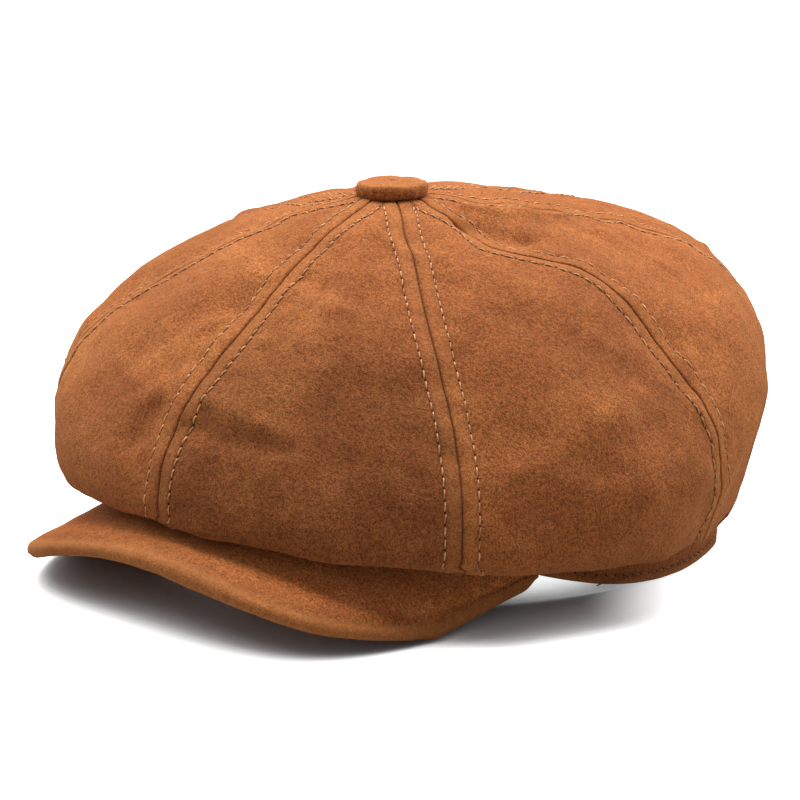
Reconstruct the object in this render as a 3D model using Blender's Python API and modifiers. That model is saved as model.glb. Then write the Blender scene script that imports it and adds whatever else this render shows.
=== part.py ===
"""Eight-panel newsboy cap as separate sewn pieces.

Metres, +Z up. The cap lies on Z = 0 with its front towards -Y and the wearer's left
towards +X. The origin is the middle of the box around the cap, on the table.

An angle phi names a direction around the cap: 0 is the front, 90 degrees the wearer's left.
"""
from math import asin, atan2, cos, exp, hypot, pi, radians, sin

import bpy
from mathutils import Vector

# Headband, measured to its outer face. Its lower edge is flat on the table at the back and
# rises over the visor's arch at the front.
BAND_CENTRE_Y = 0.01445
BAND_HALF_WIDTH = 0.098
BAND_HALF_LENGTH = 0.092
BAND_HEIGHT = 0.024
BAND_ARCH = 0.0273
BAND_ARCH_START = 0.07          # cos(phi) where the edge leaves the table
BAND_ARCH_POWER = 2.03

# Crown. Its widest line, the girth, dips to the front, and the cap slouches a little to the left.
GIRTH_CENTRE_Y = BAND_CENTRE_Y - 0.0105
GIRTH_HALF_WIDTH = 0.1156
GIRTH_HALF_LENGTH = 0.1223
GIRTH_HEIGHT = 0.0573
GIRTH_FRONT_DIP = 0.0264
GIRTH_SIDE_DIP = 0.0047
GIRTH_SLOUCH = 0.0141
CROWN_TOP = 0.1136
BUTTON_Y = BAND_CENTRE_Y - 0.0233
DOME_SPREAD = 1.445             # how fast a panel leaves the button
DOME_FULLNESS = 0.913           # below 1 is fuller, above 1 is flatter
DOME_FRONT_FLATNESS = 0.366
DOME_SIDE_FLATNESS = 0.043
DOME_SLOUCH = 0.163

# Fold under the girth, where each panel turns in towards the band
FOLD_SCALE = 0.925
FOLD_FRONT_SCALE = 0.046
FOLD_SIDE_SCALE = 0.006
FOLD_HEIGHT = 0.0208
FOLD_FRONT_RISE = 0.0020
FOLD_SLOUCH = 0.0031
FOLD_WAVE = 0.0048
FOLD_REAR_DROP = 0.0035
ROLL_STRAIGHTNESS = 0.91        # 0 rolls under in a quarter ellipse, 1 in a straight line
ROLL_STRAIGHT_ANGLE = radians(125)      # where the roll is at its straightest
ROLL_STRAIGHT_SPREAD = radians(40)

# Visor, measured to the rim of its board
VISOR_HALF_WIDTH = 0.0760
VISOR_BACK_Y = BAND_CENTRE_Y - 0.0588
VISOR_REACH = 0.0808
VISOR_CORNER_POWER = 0.449     # nearer 0 is squarer, 1 is an ellipse
VISOR_COLUMN_POWER = 1.8
VISOR_FRONT_HEIGHT = 0.0202
VISOR_CORNER_HEIGHT = 0.0008
VISOR_TEMPLE_HEIGHT = 0.0119
VISOR_ARCH_POWER = 1.91
VISOR_TEMPLE_ANGLE = radians(50)
VISOR_END_ANGLE = radians(85)
VISOR_CLEARANCE = 0.0024        # from the band, so that the visor can flex
VISOR_CROWNING = 0.0006

# Cloth and board
PANEL_COUNT = 8
SUEDE = 0.0012
LINING = 0.0004
BOARD_REACH = 0.86              # share of the visor's length that its board fills
BOARD = 0.0014
INTERLINING = 0.0008
SWEATBAND = 0.0010
LAYER_GAP = 0.0004
SEAM_GAP = 0.0005
STITCH_OFFSET = 0.0048          # from a seam to each topstitch row
THREAD_RADIUS = 0.0004
BAND_STITCH_HEIGHT = 0.0040

# Covered button
BUTTON_RADIUS = 0.0116
BUTTON_HEIGHT = 0.0054
BUTTON_SEAT_RADIUS = 0.0112     # where the crown's surface gives the button its tilt
PANEL_START = 0.075             # s where the panels stop around the rivet

# Grid sizes
PANEL_COLUMNS = 5
DOME_ROWS = 8
ROLL_ROWS = 4
TUCK_ROWS = 3
LINING_COLUMNS = 4
RING_SEGMENTS = 48
VISOR_COLUMNS = 26
THREAD_POINTS = 17
SCREW_STEPS = 32

BROWN_SUEDE = (0.205, 0.072, 0.026)
PANEL_NAMES = ("front_left", "side_left_front", "side_left_rear", "rear_left",
               "rear_right", "side_right_rear", "side_right_front", "front_right")
SEAM_NAMES = ("front", "front_left", "left", "rear_left",
              "rear", "rear_right", "right", "front_right")


# ---------------------------------------------------------------- scene and materials

def clear_scene():
    for item in list(bpy.data.objects):
        bpy.data.objects.remove(item, do_unlink=True)


def make_collection(name):
    collection = bpy.data.collections.new(name)
    bpy.context.scene.collection.children.link(collection)
    return collection


def make_material(name, colour, roughness, metallic=0.0):
    material = bpy.data.materials.new(name)
    material.use_nodes = True
    shader = material.node_tree.nodes["Principled BSDF"]
    shader.inputs["Base Color"].default_value = (*colour, 1.0)
    shader.inputs["Roughness"].default_value = roughness
    shader.inputs["Metallic"].default_value = metallic
    return material


# ---------------------------------------------------------------- shape of the cap

def band_rise(phi):
    """Height of the headband's lower edge."""
    along = (cos(phi) - BAND_ARCH_START) / (1 - BAND_ARCH_START)
    return BAND_ARCH * max(along, 0.0) ** BAND_ARCH_POWER


def band_point(phi, outward, up):
    """A point on the headband, outward from its outer face and up from its lower edge."""
    return Vector(((BAND_HALF_WIDTH + outward) * sin(phi),
                   BAND_CENTRE_Y - (BAND_HALF_LENGTH + outward) * cos(phi),
                   band_rise(phi) + up))


def band_angle(point):
    """The phi on the headband that a point of the crown faces."""
    return atan2(point.x / BAND_HALF_WIDTH, (BAND_CENTRE_Y - point.y) / BAND_HALF_LENGTH)


def girth_point(phi):
    return Vector((GIRTH_HALF_WIDTH * sin(phi),
                   GIRTH_CENTRE_Y - GIRTH_HALF_LENGTH * cos(phi),
                   GIRTH_HEIGHT - GIRTH_FRONT_DIP * cos(phi)
                   - GIRTH_SLOUCH * sin(phi) - GIRTH_SIDE_DIP * sin(phi) ** 2))


def fold_point(phi):
    girth = girth_point(phi)
    scale = FOLD_SCALE + FOLD_FRONT_SCALE * cos(phi) + FOLD_SIDE_SCALE * sin(phi)
    return Vector((girth.x * scale,
                   GIRTH_CENTRE_Y + (girth.y - GIRTH_CENTRE_Y) * scale,
                   FOLD_HEIGHT + FOLD_FRONT_RISE * cos(phi) - FOLD_SLOUCH * sin(phi)
                   + FOLD_WAVE * cos(2 * phi) - FOLD_REAR_DROP * max(0.0, -cos(phi)) ** 2))


def roll_point(phi, amount):
    """Leaves the girth upright and reaches the fold sideways as amount goes from 0 to 1."""
    girth = girth_point(phi)
    fold = fold_point(phi)
    turned = (phi - ROLL_STRAIGHT_ANGLE + pi) % (2 * pi) - pi
    power = 1 + ROLL_STRAIGHTNESS * exp(-(turned / ROLL_STRAIGHT_SPREAD) ** 2)
    sideways = 1 - max(cos(amount * pi / 2), 0.0) ** power
    upright = sin(amount * pi / 2) ** power
    return Vector((girth.x + (fold.x - girth.x) * sideways,
                   girth.y + (fold.y - girth.y) * sideways,
                   girth.z + (fold.z - girth.z) * upright))


def crown_point(phi, s):
    """Outer face of the crown: s is 0 at the button, 1 at the girth, 2 at the fold, 3 at the band."""
    girth = girth_point(phi)
    if s <= 1:
        spread = sin(s * pi / 2) ** DOME_SPREAD
        power = (DOME_FULLNESS + DOME_FRONT_FLATNESS * cos(phi)
                 + DOME_SLOUCH * sin(phi) + DOME_SIDE_FLATNESS * sin(phi) ** 2)
        height = max(cos(s * pi / 2), 0.0) ** power
        return Vector((girth.x * spread,
                       BUTTON_Y + (girth.y - BUTTON_Y) * spread,
                       girth.z + (CROWN_TOP - girth.z) * height))
    fold = fold_point(phi)
    if s <= 2:
        return roll_point(phi, s - 1)
    seam = band_point(band_angle(fold), LAYER_GAP, BAND_HEIGHT - 0.0015)
    return fold.lerp(seam, s - 2)


def lining_point(phi, s):
    """Lining: s is 0 under the button, 1 at the widest line and 2 at the top of the band."""
    heart = Vector((0, BUTTON_Y, GIRTH_HEIGHT * 0.8))
    outer = crown_point(phi, 0.78 * min(s, 1.0))
    dome = heart + (outer - heart) * 0.955
    beside_rivet = max(0.0, 1 - hypot(dome.x, dome.y - BUTTON_Y) / 0.030)
    dome.z -= 0.0010 + 0.0040 * beside_rivet ** 0.5
    if s <= 1:
        return dome
    seam = band_point(band_angle(dome), -0.0012, BAND_HEIGHT + 0.0015)
    corner = Vector((dome.x, dome.y, seam.z + 0.002))
    t = s - 1
    return dome * (1 - t) ** 2 + corner * (2 * t * (1 - t)) + seam * t ** 2


def crown_normal(phi, s):
    """Unit normal of the crown, pointing out."""
    step = 0.002
    around = crown_point(phi + step, s) - crown_point(phi - step, s)
    down = crown_point(phi, s + step) - crown_point(phi, s - step)
    return down.cross(around).normalized()


def angle_beside_seam(surface, seam, s, distance):
    """The phi at a distance to one side of a seam, which is negative towards the front's right."""
    point = surface(seam, s)
    radius = hypot(point.x, point.y - BUTTON_Y)
    return seam + asin(distance / radius)


# ---------------------------------------------------------------- mesh helpers

def add_mesh(name, points, faces, collection, material):
    mesh = bpy.data.meshes.new(name)
    mesh.from_pydata(points, [], faces)
    mesh.materials.append(material)
    mesh.shade_smooth()
    item = bpy.data.objects.new(name, mesh)
    collection.objects.link(item)
    return item


def grid_faces(rows, columns, closed=False):
    """Quads of a grid of points kept row by row; closed joins the last column to the first."""
    faces = []
    for row in range(rows - 1):
        for column in range(columns if closed else columns - 1):
            beside = (column + 1) % columns
            faces.append((row * columns + column, (row + 1) * columns + column,
                          (row + 1) * columns + beside, row * columns + beside))
    return faces


def thicken(item, thickness, side=-1):
    """Solidify from a face: side -1 goes in from it, 1 goes out from it, 0 both ways."""
    solidify = item.modifiers.new("Thickness", "SOLIDIFY")
    solidify.thickness = thickness
    solidify.offset = side
    return item


def make_gore(name, surface, first_seam, rows, columns, thickness, collection, material):
    """One panel of cloth between two neighbouring seams."""
    width = 2 * pi / PANEL_COUNT
    points = []
    for s in rows:
        start = angle_beside_seam(surface, first_seam, s, SEAM_GAP / 2)
        end = angle_beside_seam(surface, first_seam + width, s, -SEAM_GAP / 2)
        for column in range(columns + 1):
            points.append(surface(start + (end - start) * column / columns, s))
    faces = grid_faces(len(rows), columns + 1)
    return thicken(add_mesh(name, points, faces, collection, material), thickness)


def make_ring(name, outward, bottom, top, thickness, collection, material):
    """An upright ring that follows the headband's curve and arch."""
    angles = [2 * pi * i / RING_SEGMENTS for i in range(RING_SEGMENTS)]
    points = [band_point(phi, outward, up) for up in (top, bottom) for phi in angles]
    faces = grid_faces(2, RING_SEGMENTS, closed=True)
    return thicken(add_mesh(name, points, faces, collection, material), thickness)


def make_thread(name, points, collection, material):
    """A line of topstitching as one continuous thread."""
    curve = bpy.data.curves.new(name, "CURVE")
    curve.dimensions = "3D"
    curve.bevel_depth = THREAD_RADIUS
    curve.bevel_resolution = 0
    curve.use_fill_caps = True
    spline = curve.splines.new("POLY")
    spline.points.add(len(points) - 1)
    for target, point in zip(spline.points, points):
        target.co = (*point, 1.0)
    curve.materials.append(material)
    item = bpy.data.objects.new(name, curve)
    collection.objects.link(item)
    return item


def make_turned(name, profile, seat, collection, material):
    """A turned piece: profile is (radius, height) down its outer side, on the button's seat."""
    mesh = bpy.data.meshes.new(name)
    points = [(radius, 0, height) for radius, height in profile]
    mesh.from_pydata(points, [(i, i + 1) for i in range(len(points) - 1)], [])
    mesh.materials.append(material)
    item = bpy.data.objects.new(name, mesh)
    collection.objects.link(item)
    item.parent = seat
    screw = item.modifiers.new("Turn", "SCREW")
    screw.steps = SCREW_STEPS
    screw.render_steps = SCREW_STEPS
    screw.use_merge_vertices = True
    screw.merge_threshold = 0.00005
    return item


# ---------------------------------------------------------------- crown

def spread_values(start, end, count):
    return [start + (end - start) * i / count for i in range(count + 1)]


def make_crown(collection, suede, satin):
    crown_rows = (spread_values(PANEL_START, 1, DOME_ROWS)
                  + spread_values(1, 2, ROLL_ROWS)[1:]
                  + spread_values(2, 3, TUCK_ROWS)[1:])
    lining_rows = spread_values(PANEL_START, 1, 5) + spread_values(1, 2, 4)[1:]
    for index, side in enumerate(PANEL_NAMES):
        seam = 2 * pi * index / PANEL_COUNT
        make_gore("crown_panel_" + side, crown_point, seam, crown_rows,
                  PANEL_COLUMNS, SUEDE, collection, suede)
        make_gore("lining_gore_" + side, lining_point, seam, lining_rows,
                  LINING_COLUMNS, LINING, collection, satin)


def topstitch_row(seam, side):
    """Thread centres along one side of a seam, from near the button to just above the fold."""
    first = 0.0185                  # radius from the button where neighbouring rows part
    girth = girth_point(seam)
    reach = hypot(girth.x, girth.y - BUTTON_Y)
    start = asin((first / reach) ** (1 / DOME_SPREAD)) * 2 / pi
    points = []
    for s in spread_values(start, 1.7, THREAD_POINTS - 1):
        phi = angle_beside_seam(crown_point, seam, s, side * STITCH_OFFSET)
        lift = THREAD_RADIUS + LAYER_GAP
        points.append(crown_point(phi, s) + crown_normal(phi, s) * lift)
    return points


def make_topstitching(collection, thread):
    """Both rows of a seam are one thread, turned back beside the button."""
    for index, side in enumerate(SEAM_NAMES):
        seam = 2 * pi * index / PANEL_COUNT
        left = topstitch_row(seam, 1)
        right = topstitch_row(seam, -1)
        make_thread("topstitch_seam_" + side, left[::-1] + right, collection, thread)


# ---------------------------------------------------------------- headband

def make_headband(collection, suede, interlining, cotton, thread):
    inward = -(SUEDE + LAYER_GAP)
    make_ring("headband", 0, 0, BAND_HEIGHT, SUEDE, collection, suede)
    make_ring("band_interlining", inward, 0.002, BAND_HEIGHT - 0.001, INTERLINING,
              collection, interlining)
    inward -= INTERLINING + LAYER_GAP
    make_ring("sweatband", inward, 0.001, BAND_HEIGHT, SWEATBAND, collection, cotton)
    lift = THREAD_RADIUS + LAYER_GAP
    visor_end = VISOR_TEMPLE_ANGLE + radians(6)
    angles = spread_values(visor_end, 2 * pi - visor_end, 44)
    make_thread("topstitch_headband",
                [band_point(phi, lift, BAND_STITCH_HEIGHT) for phi in angles],
                collection, thread)


# ---------------------------------------------------------------- visor

def visor_rim_height(share):
    """Height of the visor's rim at a share of its half width."""
    arch = 1 - share ** VISOR_ARCH_POWER
    return VISOR_CORNER_HEIGHT + (VISOR_FRONT_HEIGHT - VISOR_CORNER_HEIGHT) * arch


def visor_rim_point(along):
    """Rim of the visor: along runs from -1, the right temple, to 1, the left temple."""
    angle = VISOR_END_ANGLE * abs(along) ** VISOR_COLUMN_POWER
    share = sin(angle) ** VISOR_CORNER_POWER
    y = VISOR_BACK_Y - VISOR_REACH * cos(angle)
    towards_temple = max(0.0, 1 - cos(angle) / 0.45)
    height = visor_rim_height(share)
    height += (VISOR_TEMPLE_HEIGHT - VISOR_CORNER_HEIGHT) * towards_temple ** 2
    side = 1 if along > 0 else -1
    return Vector((side * VISOR_HALF_WIDTH * share, y, height))


def visor_point(along, outward):
    """Middle of the visor's board: outward is 0 beside the band and 1 at the rim."""
    inner = band_point(VISOR_TEMPLE_ANGLE * along, VISOR_CLEARANCE, 0.0012)
    rim = visor_rim_point(along)
    point = inner.lerp(rim, outward)
    point.z += VISOR_CROWNING * sin(pi * outward)
    return point


def visor_frame(along, outward):
    """Point, direction towards the rim and upward normal at a place on the visor."""
    step = 0.004
    point = visor_point(along, outward)
    across = visor_point(along + step, outward) - visor_point(along - step, outward)
    out = visor_point(along, outward + step) - visor_point(along, outward - step)
    normal = across.cross(-out).normalized()
    outward_direction = normal.cross(across).normalized()
    if outward_direction.dot(out) < 0:
        outward_direction.negate()
    return point, outward_direction, normal


def make_visor_layer(name, section, reach, thickness, collection, material):
    """A layer of the visor: section lists (outward, out offset, up offset) from band to rim.

    The layer runs from -reach to reach, where 1 is the end of the visor at the temple.
    """
    points = []
    columns = spread_values(-reach, reach, VISOR_COLUMNS)
    for outward, out_offset, up_offset in section:
        for along in columns:
            point, out, normal = visor_frame(along, outward)
            points.append(point + out * out_offset + normal * up_offset)
    faces = grid_faces(len(section), len(columns))
    return thicken(add_mesh(name, points, faces, collection, material), thickness, side=0)


def make_visor(collection, suede, board):
    """Board between two covers; the upper cover rolls round the rim to meet the lower one."""
    reaches = spread_values(0, 1, 5)
    middle = BOARD / 2 + LAYER_GAP + SUEDE / 2
    flat = [(reach, 0, 0) for reach in spread_values(0, 0.97, 5)]
    upper = [(reach, 0, middle) for reach in reaches]
    for angle in (60, 20, -20, -50):
        upper.append((1, middle * cos(radians(angle)), middle * sin(radians(angle))))
    lower = [(reach, 0, -middle) for reach in spread_values(0, 0.985, 5)]
    make_visor_layer("visor_board", flat, BOARD_REACH, BOARD, collection, board)
    make_visor_layer("visor_top_cover", upper, 1, SUEDE, collection, suede)
    make_visor_layer("visor_bottom_cover", lower, 1, SUEDE, collection, suede)


# ---------------------------------------------------------------- button

def make_button_seat(collection):
    """An empty on the crown's top, tilted like the crown around it; its Z leaves the crown."""
    count = 24
    ring = []
    for index in range(count):
        phi = 2 * pi * index / count
        girth = girth_point(phi)
        reach = hypot(girth.x, girth.y - BUTTON_Y)
        s = asin((BUTTON_SEAT_RADIUS / reach) ** (1 / DOME_SPREAD)) * 2 / pi
        ring.append(crown_point(phi, s))
    centre = sum(ring, Vector()) / count
    normal = Vector()
    for index, point in enumerate(ring):
        normal += (point - centre).cross(ring[(index + 1) % count] - centre)
    seat = bpy.data.objects.new("button_seat", None)
    seat.location = centre
    seat.rotation_mode = "QUATERNION"
    seat.rotation_quaternion = normal.to_track_quat("Z", "Y")
    collection.objects.link(seat)
    return seat


def make_button(collection, suede, steel, brass):
    """Covered button: cloth over a metal shell, held through the crown by a rivet and washer."""
    seat = make_button_seat(collection)
    r = BUTTON_RADIUS
    top = BUTTON_HEIGHT
    lip = 0.0008                    # underside of the cloth's turned edge
    lip_radius = r * 0.72
    make_turned("button_cover", [
        (0, top), (r * 0.45, top - 0.0003), (r * 0.75, top - 0.0010), (r * 0.93, top - 0.0022),
        (r, top - 0.0036), (r * 0.96, lip + 0.0004), (r * 0.88, lip), (lip_radius, lip),
        (lip_radius, lip + SUEDE), (r * 0.86, lip + SUEDE), (r - SUEDE, top - 0.0032),
        (r * 0.86, top - 0.0030), (r * 0.70, top - 0.0021), (r * 0.42, top - 0.0015),
        (0, top - SUEDE)], seat, collection, suede)
    shell_top = top - SUEDE - LAYER_GAP
    shell_foot = lip + SUEDE + 0.0003
    gauge = 0.0005
    make_turned("button_shell", [
        (0, shell_top), (r * 0.40, shell_top - 0.0003), (r * 0.62, shell_top - 0.00065),
        (r * 0.74, shell_top - 0.00115), (r * 0.74, shell_foot), (r * 0.70, shell_foot),
        (r * 0.60, shell_top - 0.00065 - gauge), (r * 0.39, shell_top - 0.0003 - gauge),
        (0, shell_top - gauge)], seat, collection, steel)
    plate = 0.0012
    hole = 0.0022
    plate_radius = lip_radius - LAYER_GAP
    make_turned("button_back_plate", [
        (hole, plate + gauge), (plate_radius, plate + gauge), (plate_radius, plate),
        (hole, plate), (hole, plate + gauge)], seat, collection, steel)
    shank = hole - 0.0003
    head_radius = 0.0032
    head_base = plate + gauge + 0.0003
    washer = -0.0022
    make_turned("button_rivet", [
        (0, head_base + gauge), (head_radius, head_base + gauge), (head_radius, head_base),
        (shank, head_base), (shank, washer - 0.0003), (head_radius, washer - 0.0003),
        (head_radius, washer - 0.0008), (0, washer - 0.0008)], seat, collection, brass)
    washer_radius = 0.0075
    washer_top = washer + 0.0008
    make_turned("button_washer", [
        (hole, washer_top), (washer_radius, washer_top), (washer_radius, washer),
        (hole, washer), (hole, washer_top)], seat, collection, steel)


# ---------------------------------------------------------------- build

def main():
    clear_scene()
    cap = make_collection("newsboy_cap")
    suede = make_material("suede", BROWN_SUEDE, 0.92)
    satin = make_material("lining_satin", (0.10, 0.045, 0.02), 0.45)
    thread = make_material("thread", (0.52, 0.27, 0.15), 0.6)
    cotton = make_material("sweatband_cotton", (0.06, 0.035, 0.022), 0.85)
    interlining = make_material("interlining", (0.75, 0.73, 0.68), 0.9)
    board = make_material("board_plastic", (0.62, 0.60, 0.55), 0.6)
    steel = make_material("button_steel", (0.55, 0.55, 0.56), 0.35, 1.0)
    brass = make_material("rivet_brass", (0.65, 0.45, 0.18), 0.35, 1.0)
    make_crown(cap, suede, satin)
    make_topstitching(cap, thread)
    make_headband(cap, suede, interlining, cotton, thread)
    make_visor(cap, suede, board)
    make_button(cap, suede, steel, brass)


main()
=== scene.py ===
"""Suede newsboy cap: its finished surfaces, stitching, materials, light and camera.

The cap lies on Z = 0 with its front towards -Y and the wearer's left towards +X. An angle phi
names a direction around the cap: 0 is the front, 90 degrees the wearer's left.
"""
from math import cos, pi, radians, sin

import bpy
import numpy as np
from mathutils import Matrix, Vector


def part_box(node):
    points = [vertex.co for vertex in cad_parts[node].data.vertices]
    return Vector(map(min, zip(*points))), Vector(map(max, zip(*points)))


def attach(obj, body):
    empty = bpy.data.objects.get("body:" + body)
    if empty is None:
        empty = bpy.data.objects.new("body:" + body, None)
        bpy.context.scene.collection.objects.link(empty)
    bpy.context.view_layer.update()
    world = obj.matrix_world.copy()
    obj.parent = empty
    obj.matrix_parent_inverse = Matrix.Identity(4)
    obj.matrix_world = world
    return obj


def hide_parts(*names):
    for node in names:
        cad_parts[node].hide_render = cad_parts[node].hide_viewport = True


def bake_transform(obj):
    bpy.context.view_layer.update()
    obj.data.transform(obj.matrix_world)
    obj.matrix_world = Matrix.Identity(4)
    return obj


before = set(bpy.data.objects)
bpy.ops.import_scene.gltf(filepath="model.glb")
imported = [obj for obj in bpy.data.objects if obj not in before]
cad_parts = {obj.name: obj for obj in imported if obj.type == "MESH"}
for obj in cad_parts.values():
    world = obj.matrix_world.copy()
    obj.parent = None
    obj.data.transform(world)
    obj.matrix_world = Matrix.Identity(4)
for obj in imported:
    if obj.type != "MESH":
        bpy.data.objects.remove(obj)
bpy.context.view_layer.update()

PANEL_NAMES = ("front_left", "side_left_front", "side_left_rear", "rear_left",
               "rear_right", "side_right_rear", "side_right_front", "front_right")
SEAM_NAMES = ("front", "front_left", "left", "rear_left",
              "rear", "rear_right", "right", "front_right")
PANEL_COUNT = len(PANEL_NAMES)
# How much lighter or darker than plain suede each panel is: over its upper part, and from its
# widest part down, where the darkening is partly the suede's own tone and partly painted shade
UPPER_TONES = (-0.04, -0.04, -0.05, 0.0, 0.02, -0.04, 0.0, -0.06)
LOWER_TONES_AND_SHADE = (-0.34, -0.14, 0.0, 0.0, -0.06, -0.10, -0.04, -0.06)

# Headband, with its width and length from its CAD box
band_low, band_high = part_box("headband")
BAND_HEIGHT = 0.024
BAND_CENTRE_Y = (band_low.y + band_high.y) / 2
BAND_HALF_WIDTH = (band_high.x - band_low.x) / 2
BAND_HALF_LENGTH = (band_high.y - band_low.y) / 2
BAND_ARCH = band_high.z - BAND_HEIGHT
BAND_ARCH_START = 0.07
BAND_ARCH_POWER = 2.03
BAND_STITCH_HEIGHT = 0.0030
CROWN_SEAM_HEIGHT = BAND_HEIGHT - 0.0015        # where the panels are sewn in

# Crown, from the boxes of its panels, with the same curves as the CAD
panel_boxes = [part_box("crown_panel_" + name) for name in PANEL_NAMES]
GIRTH_FRONT_Y = min(low.y for low, high in panel_boxes)
GIRTH_BACK_Y = max(high.y for low, high in panel_boxes)
GIRTH_CENTRE_Y = (GIRTH_FRONT_Y + GIRTH_BACK_Y) / 2
GIRTH_HALF_LENGTH = (GIRTH_BACK_Y - GIRTH_FRONT_Y) / 2
GIRTH_HALF_WIDTH = max(high.x for low, high in panel_boxes)
GIRTH_HEIGHT = 0.0573
GIRTH_FRONT_DIP = 0.0264
GIRTH_SIDE_DIP = 0.0047
GIRTH_SLOUCH = 0.0141
CROWN_TOP = 0.1136
BUTTON_Y = BAND_CENTRE_Y - 0.0233
DOME_SPREAD = 1.445
DOME_FULLNESS = 0.913
DOME_FRONT_FLATNESS = 0.366
DOME_SIDE_FLATNESS = 0.043
DOME_SLOUCH = 0.163
FOLD_SCALE = 0.925
FOLD_FRONT_SCALE = 0.046
FOLD_SIDE_SCALE = 0.006
FOLD_HEIGHT = 0.0208
FOLD_FRONT_RISE = 0.0020
FOLD_SLOUCH = 0.0031
FOLD_WAVE = 0.0048
FOLD_REAR_DROP = 0.0035
ROLL_STRAIGHTNESS = 0.91
ROLL_STRAIGHT_ANGLE = radians(125)
ROLL_STRAIGHT_SPREAD = radians(40)
PANEL_START = 0.075

# Visor, with the same curves as the CAD
VISOR_HALF_WIDTH = 0.0760
VISOR_BACK_Y = BAND_CENTRE_Y - 0.0588
VISOR_REACH = 0.0808
VISOR_CORNER_POWER = 0.449
VISOR_COLUMN_POWER = 1.8
VISOR_FRONT_HEIGHT = 0.0202
VISOR_CORNER_HEIGHT = 0.0008
VISOR_TEMPLE_HEIGHT = 0.0119
VISOR_ARCH_POWER = 1.91
VISOR_TEMPLE_ANGLE = radians(50)
VISOR_END_ANGLE = radians(85)
VISOR_CLEARANCE = 0.0024
VISOR_CROWNING = 0.0006
VISOR_OUTER = 0.0023            # from the middle of the board to the suede's outer face
VISOR_INNER = 0.0011            # and to the suede's inner face
VISOR_PAINTED_LIGHT = 0.58               # painted light: lightens the visor beside the crown, which shades it there
# painted shade: darkens the visor's suede towards its rim
VISOR_RIM_PAINTED_SHADE = -0.22
VISOR_TAIL_ANGLE = radians(52.5)        # where the covers' pointed ends run out against the band
VISOR_ENDS = VISOR_TAIL_ANGLE / VISOR_TEMPLE_ANGLE      # along the visor, whose board ends at 1
VISOR_TAIL_START = 0.84
VISOR_TAIL_BEND = 0.982
VISOR_SEAM_RISE = 0.0012        # of its inner edge above the band's lower edge

BUTTON_RADIUS = 0.0116
SUEDE = 0.0012
LINING = 0.0004
INTERLINING = 0.0008
SWEATBAND = 0.0010
LAYER_GAP = 0.0004
STITCH_OFFSET = 0.0048
STITCH_LENGTH = 0.0034
LONG_STITCH_LENGTH = 0.0043
LONG_STITCH_SEAMS = ("left", "rear_left", "rear")
BAND_STITCH_LENGTH = 0.0036
THREAD_RADIUS = 0.00026

# Camera and light
CAMERA_AZIMUTH = radians(37.556)
CAMERA_ELEVATION = radians(12.526)
CAMERA_DISTANCE = 0.624
CAMERA_TARGET = Vector((-0.0398, BAND_CENTRE_Y + 0.0332, 0.0298))
LENS = 75.2
SENSOR_WIDTH = 36
SKY_WHITE = 1.05                # how bright the world looks to the camera
SHADOW_REACH = 0.050
SHADOW_OPENNESS = (0.30, 0.60)  # share of open sky from shadow to white
SHADOW_LIMIT = (0.05, 0.09)     # distance to the camera's right over which the shadow is faded out
SHADOW_DEEPENING = 0.17         # taken off the open sky to the camera's right
FLOOR_SHADES = ((0.66, 0.66, 0.67), (0.68, 0.68, 0.69))
FLOOR_BOUNCE = (0.44, 0.42, 0.40)
WORLD_LIGHT = 0.40


# ---------------------------------------------------------------- smooth noise

def wave_noise(points, wavelength, seed, waves=28):
    """A smooth random field of about unit size, from waves in random directions."""
    random = np.random.default_rng(seed)
    directions = random.normal(size=(waves, 3))
    directions /= np.linalg.norm(directions, axis=1)[:, None]
    lengths = wavelength * random.uniform(0.7, 1.5, waves)
    phases = random.uniform(0, 2 * pi, waves)
    angles = points @ (directions * (2 * pi / lengths)[:, None]).T + phases
    return np.sin(angles).sum(axis=-1) / (waves / 2) ** 0.5


def smooth_step(values, start, end):
    t = np.clip((values - start) / (end - start), 0, 1)
    return t * t * (3 - 2 * t)


def bell(values, centre, width):
    return np.exp(-((values - centre) / width) ** 2)


def stack(x, y, z):
    return np.stack(np.broadcast_arrays(x, y, z), axis=-1)


def lengths_of(vectors):
    return np.linalg.norm(vectors, axis=-1)


def unit(vectors):
    return vectors / lengths_of(vectors)[..., None]


# ---------------------------------------------------------------- shape of the cap

def band_rise(phi):
    along = (np.cos(phi) - BAND_ARCH_START) / (1 - BAND_ARCH_START)
    return BAND_ARCH * np.maximum(along, 0) ** BAND_ARCH_POWER


def band_point(phi, outward, up):
    return stack((BAND_HALF_WIDTH + outward) * np.sin(phi),
                 BAND_CENTRE_Y - (BAND_HALF_LENGTH + outward) * np.cos(phi),
                 band_rise(phi) + up)


def band_angle(points):
    return np.arctan2(points[..., 0] / BAND_HALF_WIDTH,
                      (BAND_CENTRE_Y - points[..., 1]) / BAND_HALF_LENGTH)


def girth_point(phi):
    return stack(GIRTH_HALF_WIDTH * np.sin(phi),
                 GIRTH_CENTRE_Y - GIRTH_HALF_LENGTH * np.cos(phi),
                 GIRTH_HEIGHT - GIRTH_FRONT_DIP * np.cos(phi)
                 - GIRTH_SLOUCH * np.sin(phi) - GIRTH_SIDE_DIP * np.sin(phi) ** 2)


def fold_point(phi):
    girth = girth_point(phi)
    scale = FOLD_SCALE + FOLD_FRONT_SCALE * np.cos(phi) + FOLD_SIDE_SCALE * np.sin(phi)
    return stack(girth[..., 0] * scale,
                 GIRTH_CENTRE_Y + (girth[..., 1] - GIRTH_CENTRE_Y) * scale,
                 FOLD_HEIGHT + FOLD_FRONT_RISE * np.cos(phi) - FOLD_SLOUCH * np.sin(phi)
                 + FOLD_WAVE * np.cos(2 * phi)
                 - FOLD_REAR_DROP * np.maximum(0, -np.cos(phi)) ** 2)


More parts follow.
